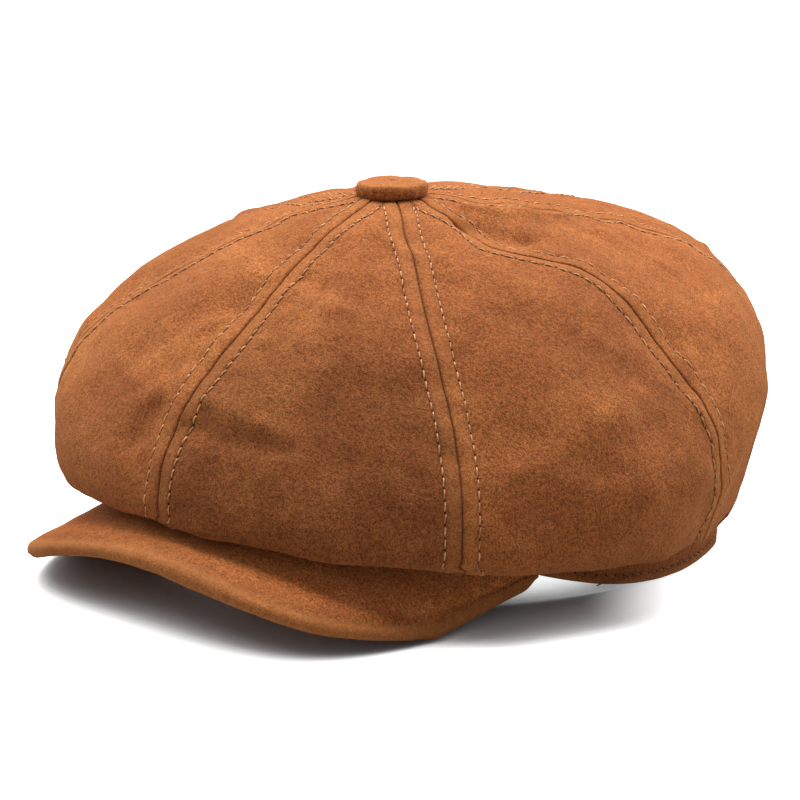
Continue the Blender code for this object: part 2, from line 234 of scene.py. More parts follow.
def crown_surface(phi, s):
    """Crown: s is 0 at the button, 1 at the girth, 2 at the fold and 3 at the band."""
    girth = girth_point(phi)
    fold = fold_point(phi)
    seam = band_point(band_angle(fold), LAYER_GAP, CROWN_SEAM_HEIGHT)
    quarter = np.clip(s, 0, 1) * pi / 2
    spread = np.sin(quarter) ** DOME_SPREAD
    power = (DOME_FULLNESS + DOME_FRONT_FLATNESS * np.cos(phi)
             + DOME_SLOUCH * np.sin(phi) + DOME_SIDE_FLATNESS * np.sin(phi) ** 2)
    height = np.maximum(np.cos(quarter), 0) ** power
    dome = stack(girth[..., 0] * spread,
                 BUTTON_Y + (girth[..., 1] - BUTTON_Y) * spread,
                 girth[..., 2] + (CROWN_TOP - girth[..., 2]) * height)
    turn = np.clip(s - 1, 0, 1) * pi / 2
    turned = (phi - ROLL_STRAIGHT_ANGLE + pi) % (2 * pi) - pi
    power = 1 + ROLL_STRAIGHTNESS * np.exp(-(turned / ROLL_STRAIGHT_SPREAD) ** 2)
    sideways = (1 - np.maximum(np.cos(turn), 0) ** power)[..., None] * (fold - girth)
    upright = (np.sin(turn) ** power)[..., None] * (fold - girth)
    roll = girth + np.concatenate([sideways[..., :2], upright[..., 2:]], axis=-1)
    tuck = fold + (seam - fold) * np.clip(s - 2, 0, 1)[..., None]
    s = np.broadcast_to(s, phi.shape)[..., None]
    return np.where(s <= 1, dome, np.where(s <= 2, roll, tuck))


def lining_surface(phi, s):
    """Lining: s is 0 under the button, 1 at the widest line and 2 at the top of the band."""
    heart = np.array((0, BUTTON_Y, GIRTH_HEIGHT * 0.8))
    outer = crown_surface(phi, 0.78 * np.minimum(s, 1.0))
    dome = heart + (outer - heart) * 0.955
    radius = np.hypot(dome[..., 0], dome[..., 1] - BUTTON_Y)
    dome[..., 2] -= 0.0010 + 0.0040 * np.maximum(0, 1 - radius / 0.030) ** 0.5
    seam = band_point(band_angle(dome), -0.0012, BAND_HEIGHT + 0.0015)
    corner = stack(dome[..., 0], dome[..., 1], seam[..., 2] + 0.002)
    t = np.clip(s - 1, 0, 1)[..., None]
    return dome * (1 - t) ** 2 + corner * (2 * t * (1 - t)) + seam * t ** 2


def surface_normal(surface, phi, s):
    """Unit normals, pointing out of the cap."""
    step = 0.003
    around = surface(phi + step, s) - surface(phi - step, s)
    down = surface(phi, s + step) - surface(phi, s - step)
    return unit(np.cross(down, around))


# ---------------------------------------------------------------- mesh helpers

def add_piece(name, points, faces, material, body="cap", attributes=None):
    mesh = bpy.data.meshes.new(name)
    mesh.from_pydata(points.reshape(-1, 3).tolist(), [], faces)
    mesh.validate()
    mesh.shade_smooth()
    mesh.materials.append(material)
    for key, values in (attributes or {}).items():
        layer = mesh.attributes.new(key, "FLOAT", "POINT")
        layer.data.foreach_set("value", np.asarray(values, np.float32).ravel())
    piece = bpy.data.objects.new(name, mesh)
    bpy.context.scene.collection.objects.link(piece)
    if body:
        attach(piece, body)
    return piece


def loop_faces(rows, columns, close_rows=False, first=0):
    """Quads of rows of closed loops, with a cap on the first and the last row."""
    faces = []
    for row in range(rows if close_rows else rows - 1):
        here = first + row * columns
        below = first + (row + 1) % rows * columns
        for column in range(columns):
            beside = (column + 1) % columns
            faces.append((here + column, below + column, below + beside, here + beside))
    if not close_rows:
        faces.append(tuple(first + column for column in range(columns)))
        faces.append(tuple(first + (rows - 1) * columns + column
                           for column in reversed(range(columns))))
    return faces


# ---------------------------------------------------------------- gores, shared by crown and lining

# Distances from a seam where a wide panel has its columns: close together over the seam's
# groove and over the topstitching, then even to the middle of the panel
NEAR_SEAM = np.array([0, 0.2, 0.4, 0.7, 1.2, 2.0, 3.0, 3.7, 4.2, 4.5, 4.8, 5.1, 5.5, 6.2,
                      7.2, 8.4, 9.8, 11.4]) / 1000
MID_COLUMNS = 13


# Where a seam is pulled sideways, by its index: (s, spread in s, metres towards larger phi)
SEAM_BENDS = {
    1: ((0.27, 0.06, -0.0010),),
    2: ((0.21, 0.06, -0.0038), (0.345, 0.075, -0.0090), (0.54, 0.09, 0.0025),
        (1.60, 0.80, 0.0030)),
    3: ((0.23, 0.06, -0.0065), (0.52, 0.15, 0.0095), (0.74, 0.14, 0.0070)),
    5: ((0.38, 0.10, 0.0050), (0.80, 0.15, -0.0030)),
    6: ((0.45, 0.12, -0.0045), (1.30, 0.30, 0.0030)),
    7: ((0.27, 0.05, -0.0060),),
}


def seam_angle(index, s):
    """A seam's phi: straight down from the button, but for its sewn wander and bends."""
    base = 2 * pi * index / PANEL_COUNT
    seam = index % PANEL_COUNT
    wander = 0.0007 * (np.sin(7.3 * s + 1.9 * seam) + 0.6 * np.sin(13.7 * s + 4.1 * seam))
    for centre, width, sideways in SEAM_BENDS.get(seam, ()):
        wander = wander + sideways * bell(s, centre, width)
    point = crown_surface(np.full_like(s, base), s)
    radius = np.hypot(point[..., 0], point[..., 1] - BUTTON_Y)
    return base + wander * smooth_step(s, 0.08, 0.20) / radius


def column_distances(width):
    """Distances from the left seam of one row's columns."""
    half = width / 2
    fixed = NEAR_SEAM * min(1.0, half / (1.45 * NEAR_SEAM[-1]))
    steps = np.arange(1, MID_COLUMNS + 1) / MID_COLUMNS
    left = np.concatenate([fixed, fixed[-1] + (half - fixed[-1]) * steps])
    return np.concatenate([left, width - left[-2::-1]])


def gore_grid(surface, index, rows):
    """phi, distance from the left seam and width for each point of a panel's grid."""
    samples = 41
    shares = np.linspace(0, 1, samples)
    starts = seam_angle(index, rows)
    ends = seam_angle(index + 1, rows)
    angles = starts[:, None] + (ends - starts)[:, None] * shares
    points = surface(angles, np.repeat(rows[:, None], samples, axis=1))
    steps = lengths_of(np.diff(points, axis=1))
    travelled = np.concatenate([np.zeros((len(rows), 1)), np.cumsum(steps, axis=1)], axis=1)
    phi, distance, width = [], [], []
    for row in range(len(rows)):
        total = travelled[row, -1]
        places = column_distances(total)
        distance.append(places)
        width.append(np.full_like(places, total))
        phi.append(np.interp(places, travelled[row], angles[row]))
    return np.array(phi), np.array(distance), np.array(width)


def gore_loops(outer, normal, thickness, turn_in):
    """Closes each row of a panel into a loop: outer face, turned-in edges, inner face."""
    across = unit(outer[:, 1:2] - outer[:, :1])
    across_end = unit(outer[:, -2:-1] - outer[:, -1:])
    every = np.arange(2, outer.shape[1] - 2, 4)
    inner = outer[:, every] - normal[:, every] * thickness
    first = outer[:, :1] - normal[:, :1] * turn_in + across * turn_in * 0.25
    last = outer[:, -1:] - normal[:, -1:] * turn_in + across_end * turn_in * 0.25
    tail = first + across * thickness * 1.2
    tail_end = last + across_end * thickness * 1.2
    return np.concatenate([outer, last, tail_end, inner[:, ::-1], tail, first], axis=1)


# ---------------------------------------------------------------- crown

CROWN_ROWS = np.concatenate([
    np.linspace(PANEL_START, 1, 92)[:-1],
    np.linspace(1, 2, 40)[:-1],
    np.linspace(2, 3, 16)])

PANEL_SWELL = 0.0019            # how far a panel's middle stands out
PANEL_DRAW_IN = 0.0012          # and how far the whole panel is drawn in
GROOVE_DEPTH = 0.0006
GROOVE_WIDTH = 0.00032
STRIP_RISE = 0.00035            # of the turned-under suede between the stitch rows
ROW_DEPTH = 0.00025             # of the dent along each stitch row
ROUNDING_STEPS = 30             # for the widest line
FOLD_ROUNDING_STEPS = 6

# Soft folds: where one starts and ends (phi in degrees, s), its height and its half width.
# The ones with a negative height are hollows, and the last three are wide and shallow.
SOFT_FOLDS = (
    ((122, 0.45), (115, 0.61), 0.0015, 0.0045),
    ((122, 0.66), (113, 0.78), 0.0010, 0.0040),
    ((102, 0.22), (126, 0.39), 0.0020, 0.0040),
    ((80, 0.25), (95, 0.36), -0.0026, 0.0060),
    ((95, 0.70), (89, 0.83), 0.0008, 0.0040),
    ((55, 0.35), (71, 0.45), 0.0009, 0.0060),
    ((60, 0.49), (75, 0.61), -0.0008, 0.0070),
    ((54, 0.80), (78, 0.72), 0.0014, 0.0060),
    ((66, 0.85), (80, 0.80), -0.0012, 0.0070),
    ((28, 0.26), (46, 0.34), 0.0010, 0.0030),
    ((2, 0.69), (16, 0.71), 0.0009, 0.0030),
    ((1, 0.75), (20, 0.75), -0.0011, 0.0035),
    ((7, 0.40), (16, 0.43), -0.0011, 0.0040),
    ((12, 0.45), (25, 0.48), 0.0009, 0.0040),
    ((-10, 0.58), (-5, 0.52), 0.0008, 0.0025),
    ((-19, 0.59), (-10, 0.69), 0.0010, 0.0030),
    ((-24, 0.70), (-13, 0.71), 0.0008, 0.0030),
    ((-10, 0.74), (-7, 0.69), 0.0009, 0.0030),
    ((-9, 0.83), (-6, 0.74), -0.0014, 0.0050),
    ((-60, 0.62), (-48, 0.78), 0.0010, 0.0045),
    ((-95, 0.48), (-84, 0.60), -0.0012, 0.0050),
    ((-112, 0.74), (-100, 0.66), 0.0012, 0.0050),
    ((-140, 0.42), (-128, 0.55), 0.0011, 0.0045),
    ((-168, 0.60), (-172, 0.80), 0.0010, 0.0050),
    ((150, 0.50), (162, 0.66), -0.0011, 0.0055),
    ((148, 0.80), (166, 0.86), 0.0010, 0.0045),
    ((118, 0.85), (112, 1.35), -0.0024, 0.0320),
    ((140, 0.42), (152, 0.60), -0.0014, 0.0250),
    ((-75, 0.35), (-60, 0.70), -0.0015, 0.0280),
)


def distance_from_fold(points, start, end):
    """Distance of each point from a fold's line, which thins out towards both its ends."""
    steps = np.linspace(0, 1, 15)
    phi = radians(start[0]) + radians(end[0] - start[0]) * steps
    line = crown_surface(phi, start[1] + (end[1] - start[1]) * steps)
    away = lengths_of(points[..., None, :] - line)
    thinning = 1 + 1.2 * (2 * steps - 1) ** 4
    return (away * thinning).min(axis=-1)


def crown_relief(points, phi, s, distance, width):
    """How far the suede stands out of the smooth crown."""
    edge = np.minimum(distance, width - distance)
    share = distance / width
    swell = smooth_step(s, 0.12, 0.5) * (1 - 0.55 * smooth_step(s, 1.2, 2.0))
    relief = (PANEL_SWELL * np.sin(pi * share) ** 0.9 - PANEL_DRAW_IN) * swell
    relief -= GROOVE_DEPTH * bell(edge, 0, GROOVE_WIDTH)
    relief += STRIP_RISE * (1 - smooth_step(edge, 0.0042, 0.0058))
    relief -= ROW_DEPTH * bell(edge, STITCH_OFFSET, 0.0006)
    beside_row = np.exp(-np.abs(edge - STITCH_OFFSET) / 0.0060)
    relief += 0.00022 * wave_noise(points, 0.0095, 3) * beside_row
    relief += 0.0006 * wave_noise(points, 0.060, 1) * swell
    relief += 0.00026 * wave_noise(points, 0.026, 2)
    relief += 0.00009 * wave_noise(points, 0.009, 4)
    for start, end, height, half_width in SOFT_FOLDS:
        relief += height * np.exp(-(distance_from_fold(points, start, end) / half_width) ** 2)
    return relief


def soften_edges(points):
    """Rounds off the slight edge at the widest line, and a little of the one at the fold."""
    girth_share = 0.5 * bell(CROWN_ROWS, 1.0, 0.10)[1:-1, None, None]
    fold_share = 0.5 * bell(CROWN_ROWS, 2.0, 0.08)[1:-1, None, None]
    for step in range(ROUNDING_STEPS):
        share = girth_share + fold_share if step < FOLD_ROUNDING_STEPS else girth_share
        middle = (points[:-2] + points[2:]) / 2
        points[1:-1] += (middle - points[1:-1]) * share
    return points


def panel_tone_and_shade(index):
    """How much lighter or darker than plain suede each row of a panel is; the darker lower rows are
    partly painted shade.
    """
    lower = smooth_step(CROWN_ROWS, 0.38, 0.68)
    return UPPER_TONES[index] * (1 - lower) + LOWER_TONES_AND_SHADE[index] * lower


def build_crown_panel(index, material):
    phi, distance, width = gore_grid(crown_surface, index, CROWN_ROWS)
    s = np.repeat(CROWN_ROWS[:, None], phi.shape[1], axis=1)
    base = soften_edges(crown_surface(phi, s))
    normal = unit(soften_edges(surface_normal(crown_surface, phi, s)))
    tuck_fade = 1 - smooth_step(s, 2.05, 2.5)
    outer = base + normal * (crown_relief(base, phi, s, distance, width) * tuck_fade)[..., None]
    edge = np.minimum(distance, width - distance)
    loops = gore_loops(outer, normal, SUEDE, 0.0020)
    spare = loops.shape[1] - outer.shape[1]
    # Lighter near the seams, over the raised strips, and along the fold: partly rubbed nap, partly
    # painted highlight
    wear_and_highlight = 0.5 * bell(edge, 0.0024, 0.0020) + 0.8 * bell(s, 2.0, 0.08)
    # Painted shade: darker in the seams' grooves and along the stitch rows, and fully over the
    # hidden turned-in edges and inner face
    groove = bell(edge, 0, 0.00030) + 0.25 * bell(edge, STITCH_OFFSET, 0.0005)
    pad = np.zeros((len(CROWN_ROWS), spare))
    name = PANEL_NAMES[index]
    piece = add_piece("suede_panel_" + name, loops, loop_faces(*loops.shape[:2]), material,
                      attributes={"wear_and_highlight": np.concatenate([wear_and_highlight, pad], axis=1),
                                  "groove": np.concatenate([groove, pad + 1], axis=1),
                                  "tone": panel_tone_and_shade(index)[:, None] + 0 * loops[..., 0]})
    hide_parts("crown_panel_" + name)
    return outer, normal, distance, width


# ---------------------------------------------------------------- stitches

def look_up(places, travelled, values):
    """Rows of values at given lengths along a path."""
    return np.stack([np.interp(places, travelled, values[:, axis]) for axis in range(3)], axis=1)


def tube_rings(centre, across, up, radius, sides):
    turn = np.arange(sides) * 2 * pi / sides
    return (centre[:, None]
            + up[:, None] * (np.cos(turn)[None, :, None] * radius[..., None])
            + across[:, None] * (np.sin(turn)[None, :, None] * radius[..., None]))


def thread_rings(centre, normal, random):
    """One stitch: a two-ply thread that rises out of one needle hole and dips into the next."""
    sides = 7
    t = np.linspace(0, 1, len(centre))
    ahead = unit(np.gradient(centre, axis=0))
    across = unit(np.cross(ahead, normal))
    lift = THREAD_RADIUS * (1.9 * np.sin(pi * t) ** 0.6 - 0.9)
    slant = (t - 0.5) * random.uniform(0.00010, 0.00050)
    centre = centre + normal * lift[:, None] + across * slant[:, None]
    turn = np.arange(sides) * 2 * pi / sides
    plies = 1 + 0.14 * np.cos(2 * turn[None] - t[:, None] * 14.0)
    radius = THREAD_RADIUS * (0.6 + 0.4 * np.sin(pi * t) ** 0.5)[:, None] * plies
    return tube_rings(centre, across, normal, radius, sides)


def hole_rings(centre, normal, ahead):
    """A needle hole: a small dark bead set into the suede, its darkness painted shade."""
    across = unit(np.cross(ahead, normal))
    centres = centre + normal * np.array([[-0.0002], [0.00005], [0.00009]])
    radius = np.array([[0.00030], [0.00030], [0.00016]]) * np.ones((1, 6))
    ones = np.ones((3, 1))
    return tube_rings(centres, ones * ahead, ones * across, radius, 6)


def build_stitches(name, rows, length, seed, thread_material, hole_material, tail=None):
    """All the stitches of one seam; rows holds a path and its normals for each row.

    The path of a loose tail of thread can be added.
    """
    random = np.random.default_rng(seed)
    points, faces, slots = [], [], []
    first = 0

    def add(rings, slot):
        nonlocal first
        points.append(rings.reshape(-1, 3))
        new_faces = loop_faces(rings.shape[0], rings.shape[1], first=first)
        faces.extend(new_faces)
        slots.extend([slot] * len(new_faces))
        first += rings.shape[0] * rings.shape[1]

    for path, normals in rows:
        steps = lengths_of(np.diff(path, axis=0))
        travelled = np.concatenate([[0], np.cumsum(steps)])
        count = int(travelled[-1] / length)
        jitter = random.uniform(-0.07, 0.07, count + 1)
        holes = (np.arange(count + 1) + 0.15 + jitter) * travelled[-1] / (count + 0.3)
        for start, end in zip(holes[:-1], holes[1:]):
            margin = 0.09 * (end - start)
            places = np.linspace(start + margin, end - margin, 9)
            centre = look_up(places, travelled, path)
            normal = unit(look_up(places, travelled, normals))
            add(thread_rings(centre, normal, random), 0)
        at_holes = look_up(holes, travelled, path)
        hole_normals = unit(look_up(holes, travelled, normals))
        aheads = unit(np.gradient(at_holes, axis=0))
        for centre, normal, ahead in zip(at_holes, hole_normals, aheads):
            add(hole_rings(centre, normal, ahead), 1)
    if tail is not None:
        ahead = unit(np.gradient(tail, axis=0))
        across = unit(np.cross(ahead, (0.0, 0.0, 1.0)))
        radius = np.full((len(tail), 6), THREAD_RADIUS * 0.8)
        add(tube_rings(tail, across, np.cross(across, ahead), radius, 6), 0)
    piece = add_piece("stitches_" + name, np.concatenate(points), faces, thread_material)
    piece.data.materials.append(hole_material)
    piece.data.polygons.foreach_set("material_index", slots)
    return piece


def row_beside_seam(panel, from_left):
    """Path and normals of the topstitching along one edge of a panel's finished grid."""
    outer, normal, distance, width = panel
    path, normals = [], []
    for row in range(len(outer)):
        total = width[row, 0]
        if total < 2.02 * STITCH_OFFSET or CROWN_ROWS[row] > 2.12:
            continue
        place = STITCH_OFFSET if from_left else total - STITCH_OFFSET
        path.append([np.interp(place, distance[row], outer[row, :, axis]) for axis in range(3)])
        normals.append([np.interp(place, distance[row], normal[row, :, axis])
                        for axis in range(3)])
    return np.array(path), np.array(normals)


def build_crown(suede, thread, hole):
    panels = [build_crown_panel(index, suede) for index in range(PANEL_COUNT)]
    for index, name in enumerate(SEAM_NAMES):
        rows = [row_beside_seam(panels[index], True),
                row_beside_seam(panels[index - 1], False)]
        length = LONG_STITCH_LENGTH if name in LONG_STITCH_SEAMS else STITCH_LENGTH
        piece = build_stitches("seam_" + name, rows, length, 10 + index, thread, hole)
        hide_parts("topstitch_seam_" + name)


# ---------------------------------------------------------------- lining

LINING_ROWS = np.concatenate([np.linspace(PANEL_START, 1, 26)[:-1], np.linspace(1, 2, 18)])


def build_lining_gore(index, material):
    phi, distance, width = gore_grid(lining_surface, index, LINING_ROWS)
    s = np.repeat(LINING_ROWS[:, None], phi.shape[1], axis=1)
    base = lining_surface(phi, s)
    normal = surface_normal(lining_surface, phi, s)
    free = smooth_step(s, 0.15, 0.5) * (1 - smooth_step(s, 1.5, 1.95))
    creases = 0.0007 * wave_noise(base * (1, 1, 0.4), 0.020, 21) - 0.0012
    drop = creases * free - 0.0008 * bell(np.minimum(distance, width - distance), 0, 0.0012)
    outer = base + normal * drop[..., None]
    loops = gore_loops(outer, normal, LINING, 0.0012)
    name = PANEL_NAMES[index]
    piece = add_piece("satin_gore_" + name, loops, loop_faces(*loops.shape[:2]), material)
    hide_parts("lining_gore_" + name)


# ---------------------------------------------------------------- headband and what lines it

def round_section(outer, inner, bottom, top):
    """Outline of an upright band's cross-section as (outward, up), with rounded edges."""
    radius = (outer - inner) / 2
    middle = (outer + inner) / 2
    turns = np.linspace(0, pi, 9)
    heights = np.linspace(top - radius, bottom + radius, 22)
    points = [(outer, height) for height in heights]
    points += [(middle + radius * cos(turn), bottom + radius - radius * sin(turn))
               for turn in turns[1:-1]]
    points += [(inner, height) for height in heights[::-1]]
    points += [(middle - radius * cos(turn), top - radius + radius * sin(turn))
               for turn in turns[1:-1]]
    return np.array(points)


def band_loops(section, wave, seed, columns=420):
    phi = np.linspace(0, 2 * pi, columns, endpoint=False)[:, None]
    outward = section[None, :, 0]
    up = section[None, :, 1]
    points = band_point(phi + 0 * outward, outward + 0 * phi, up + 0 * phi)
    normal = unit(stack(np.sin(phi) / BAND_HALF_WIDTH, -np.cos(phi) / BAND_HALF_LENGTH, 0 * phi))
    ripple = wave * wave_noise(points * (1, 1, 0.5), 0.045, seed)
    ripple += wave * 0.3 * wave_noise(points, 0.014, seed + 1)
    return points + normal * ripple[..., None], normal


def build_band(name, node, section, wave, seed, material):
    loops, normal = band_loops(section, wave, seed)
    height = np.broadcast_to(section[None, :, 1], loops.shape[:2])
    outside = section[None, :, 0] >= section[:, 0].max() - 0.0002
    # The dent along the stitch row, also used for painted shade in it
    groove = bell(height, BAND_STITCH_HEIGHT, 0.0007) * outside
    loops = loops - normal * (0.0003 * groove)[..., None]
    wear_and_highlight = bell(height, section[:, 1].min(), 0.0016)
    piece = add_piece(name, loops, loop_faces(*loops.shape[:2], close_rows=True), material,
                      attributes={"wear_and_highlight": wear_and_highlight, "groove": 0.5 * groove})
    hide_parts(node)
    return loops, normal


def loose_thread():
    """The uncut end of the headband's stitching, hanging down against the band."""
    t = np.linspace(0, 1, 24)
    phi = radians(73) - radians(8) * t
    outward = 0.0004 + 0.0011 * np.sin(pi * t) + 0.0006 * t
    up = BAND_STITCH_HEIGHT - 0.0032 * t - 0.0007 * np.sin(2 * pi * t)
    return band_point(phi, outward, up)


def build_headband(suede, interlining, cotton, thread, hole):
    section = round_section(0, -SUEDE, 0, BAND_HEIGHT)
    loops, normal = build_band("suede_headband", "headband", section, 0.0003, 31, suede)
    column = np.abs(section[:, 1] - BAND_STITCH_HEIGHT) + 10 * (section[:, 0] < 0)
    path = loops[:, column.argmin()]
    closed = np.concatenate([path, path[:1]])
    normals = np.concatenate([normal[:, 0], normal[:1, 0]])
    piece = build_stitches("headband", [(closed, normals)], BAND_STITCH_LENGTH, 40, thread, hole,
                           tail=loose_thread())
    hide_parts("topstitch_headband")
    outer = -(SUEDE + LAYER_GAP)
    section = round_section(outer, outer - INTERLINING, 0.002, BAND_HEIGHT - 0.001)
    build_band("felt_interlining", "band_interlining", section, 0.0001, 33, interlining)
    outer -= INTERLINING + LAYER_GAP
    section = round_section(outer, outer - SWEATBAND, 0.001, BAND_HEIGHT)
    build_band("cotton_sweatband", "sweatband", section, 0.0002, 35, cotton)


# ---------------------------------------------------------------- visor

def visor_rim(along):
    angle = VISOR_END_ANGLE * np.abs(along) ** VISOR_COLUMN_POWER
    share = np.sin(angle) ** VISOR_CORNER_POWER
    arch = 1 - share ** VISOR_ARCH_POWER
    towards_temple = np.maximum(0, 1 - np.cos(angle) / 0.45)
    height = VISOR_CORNER_HEIGHT + (VISOR_FRONT_HEIGHT - VISOR_CORNER_HEIGHT) * arch
    height = height + (VISOR_TEMPLE_HEIGHT - VISOR_CORNER_HEIGHT) * towards_temple ** 2
    return stack(np.sign(along) * VISOR_HALF_WIDTH * share,
                 VISOR_BACK_Y - VISOR_REACH * np.cos(angle), height)


def visor_edge(along):
    """Rim of the visor's suede: the board's rim, then a curve that runs out against the band."""
    side = np.sign(along)
    size = np.abs(along)
    turn = np.clip((size - VISOR_TAIL_START) / (VISOR_ENDS - VISOR_TAIL_START), 0, 1)[..., None]
    rim = visor_rim(side * np.minimum(size, VISOR_TAIL_START))
    bend = visor_rim(side * VISOR_TAIL_BEND)
    tip = band_point(side * VISOR_TAIL_ANGLE, VISOR_CLEARANCE + 0.0010, VISOR_SEAM_RISE)
    return rim * (1 - turn) ** 2 + bend * (2 * turn * (1 - turn)) + tip * turn ** 2


def visor_surface(along, outward):
    """Middle of the visor's board: outward is 0 beside the band and 1 at the rim."""
    inner = band_point(VISOR_TEMPLE_ANGLE * along, VISOR_CLEARANCE, VISOR_SEAM_RISE)
    point = inner + (visor_edge(along) - inner) * outward[..., None]
    point[..., 2] += VISOR_CROWNING * np.sin(pi * outward)
    return point


def visor_section(face, back, end_angle, rim):
    """Cross-section of a cover as (outward, offset, roll angle): its face, then its back."""
    flat = np.linspace(0, 1, 40) ** 0.8 * rim
    up = 1 if face > 0 else -1
    section = [(share, face, up * pi / 2) for share in flat]
    rolls = np.linspace(pi / 2, end_angle, 16)[1:] if end_angle is not None else []
    section += [(1.0, face, roll) for roll in rolls]
    section += [(1.0, back, roll) for roll in rolls[::-1]]
    section += [(share, back, up * pi / 2) for share in flat[::-3]]
    return np.array(section)


def build_visor_cover(name, node, section, seed, material):
    columns = 170
    along = np.linspace(-VISOR_ENDS, VISOR_ENDS, columns)[:, None] + 0 * section[None, :, 0]
    outward = section[None, :, 0] + 0 * along
    step = 0.004
    point = visor_surface(along, outward)
    across = (visor_surface(np.minimum(along + step, VISOR_ENDS), outward)
              - visor_surface(np.maximum(along - step, -VISOR_ENDS), outward))
    out = visor_surface(along, outward + step) - visor_surface(along, outward - step)
    normal = unit(np.cross(out, across))
    away = unit(np.cross(across, normal))
    away *= np.sign((away * out).sum(axis=-1))[..., None]
    offset = np.abs(section[None, :, 1, None])
    roll = section[None, :, 2, None]
    plump = 0.0005 * wave_noise(point, 0.038, seed) + 0.00012 * wave_noise(point, 0.011, seed + 1)
    swell = 0.0006 * bell(outward, 0.93, 0.10) * (roll[..., 0] > 0)
    thin_end = 1 - 0.65 * smooth_step(np.abs(along), 1.0, VISOR_ENDS)[..., None]
    reach = offset + (plump * 0.5 + swell)[..., None] * (offset > VISOR_INNER)
    reach = reach * thin_end
    loops = point + normal * (np.sin(roll) * reach) + away * (np.cos(roll) * reach)
    wear_and_highlight = bell(outward, 1.0, 0.04)
    # Painted light on the visor: lighter beside the crown, which shades it, and towards the end on
    # the wearer's right; painted shade towards the rim
    tone = VISOR_PAINTED_LIGHT + (VISOR_RIM_PAINTED_SHADE - VISOR_PAINTED_LIGHT) * smooth_step(outward, 0.78, 1.0)
    tone = tone + 0.30 * bell(along, -0.80, 0.28)
    piece = add_piece(name, loops, loop_faces(*loops.shape[:2]), material, body=None,
                      attributes={"wear_and_highlight": wear_and_highlight, "groove": 0 * wear_and_highlight, "tone": tone})
    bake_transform(piece)
    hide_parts(node)


def build_visor(suede):
    upper = visor_section(VISOR_OUTER, VISOR_INNER, radians(-58), 1.0)
    lower = visor_section(-VISOR_OUTER, -VISOR_INNER, None, 0.985)
    build_visor_cover("suede_visor_top", "visor_top_cover", upper, 51, suede)
    build_visor_cover("suede_visor_underside", "visor_bottom_cover", lower, 54, suede)


# ---------------------------------------------------------------- button

def button_seat():
    """Centre and directions of the crown's top under the button."""
    low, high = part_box("button_cover")
    washer_low, washer_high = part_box("button_washer")
    up = unit(np.array((low + high) / 2 - (washer_low + washer_high) / 2))
    centre = np.array((washer_low + washer_high) / 2) + up * 0.0018
    side = unit(np.cross((0.0, 1.0, 0.0), up))
    return centre, side, np.cross(up, side), up


def build_button(suede):
    centre, side, back, up = button_seat()
    top = 0.0055
    profile = [(0.02, top)]
    profile += [(0.88 * cos(a) ** 0.75, top - 0.0008 * (1 - sin(a) ** 1.2))
                for a in np.linspace(pi / 2 - 0.12, 0.50, 12)]
    rim = np.linspace(1.15, -1.20, 16)
    profile += [(0.87 + 0.13 * cos(a), 0.0026 + 0.0024 * sin(a)) for a in rim]
    profile += [(0.84, 0.0002), (0.78, 0.0004), (0.73, 0.0006), (0.73, 0.0017), (0.80, 0.0018),
                (0.87, 0.0023), (0.88, 0.0028), (0.78, 0.0034), (0.5, 0.0038), (0.02, 0.0039)]
    profile = np.array(profile)
    turn = np.linspace(0, 2 * pi, 112, endpoint=False)[:, None]
    outward = profile[None, :, 0] * BUTTON_RADIUS + 0 * turn
    height = profile[None, :, 1] + 0 * turn
    gathers = 0.00012 * np.sin(17 * turn + 2.1 * np.sin(3 * turn)) * bell(height, 0.0008, 0.0022)
    outward = outward * (1 + 0.008 * np.sin(2 * turn + 0.6)) + gathers
    points = (centre + side * (outward * np.cos(turn))[..., None]
              + back * (outward * np.sin(turn))[..., None] + up * height[..., None])
    relief = 0.00016 * wave_noise(points, 0.009, 61) * (height > 0.0024)
    points = points + up * relief[..., None]
    # Lighter around the top of the rim, partly rubbed nap and partly painted highlight; painted
    # shade at the foot, where the button sits on the crown
    wear_and_highlight = bell(height, 0.0045, 0.0008)
    piece = add_piece("suede_button", points, loop_faces(*points.shape[:2], close_rows=True),
                      suede, attributes={"wear_and_highlight": wear_and_highlight, "groove": 0.6 * bell(height, 0, 0.0012)})
    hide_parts("button_cover")


# ---------------------------------------------------------------- materials

